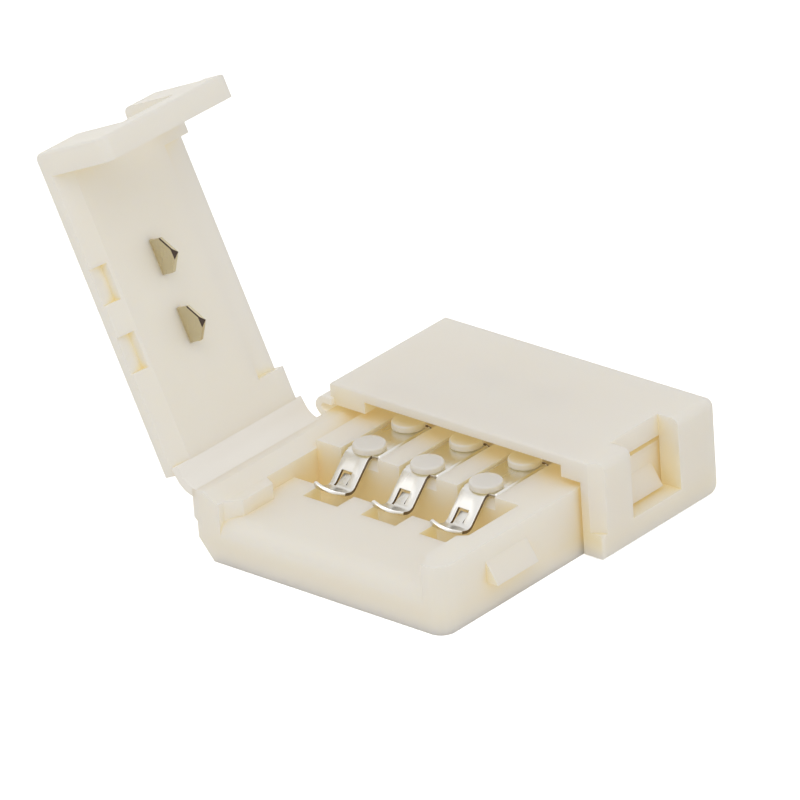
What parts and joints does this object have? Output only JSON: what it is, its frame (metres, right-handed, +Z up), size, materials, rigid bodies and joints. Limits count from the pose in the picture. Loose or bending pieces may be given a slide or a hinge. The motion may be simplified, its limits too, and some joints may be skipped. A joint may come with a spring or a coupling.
{
  "type": "led strip connector",
  "caption": "Clip connector with sprung contacts that joins two 10 mm LED strips end to end under a pair of snap covers on thin moulded hinges.",
  "frame": {"origin": "middle of the base's flat underside", "axes": "+X across the strip from the hinge side to the latch side, +Y along the strip towards the shut half, +Z up"},
  "size_m": [0.0222, 0.0166, 0.0184],
  "materials": {
    "housing": "satin off-white nylon",
    "cover": "satin off-white nylon",
    "contact": "tinned bronze strip",
    "tooth": "plated pressed metal"
  },
  "bodies": {
    "base": {"base_housing": "housing", "front_hinge_web": "housing", "back_hinge_web": "housing", "contact_strip_left": "contact", "contact_strip_middle": "contact", "contact_strip_right": "contact"},
    "front_cover": {"front_cover": "cover", "front_cover_teeth": "tooth"},
    "back_cover": {"back_cover": "cover", "back_cover_teeth": "tooth"}
  },
  "joints": [
    {"name": "front_cover_hinge", "type": "hinge", "parent": "base", "child": "front_cover", "pos_m": [-0.0072, 0, 0.0033], "axis": [0, -1, 0], "range_deg": [-114, 56], "deforming": ["front_hinge_web"]},
    {"name": "back_cover_hinge", "type": "hinge", "parent": "base", "child": "back_cover", "pos_m": [-0.0072, 0, 0.0033], "axis": [0, -1, 0], "range_deg": [0, 170], "deforming": ["back_hinge_web"]}
  ]
}
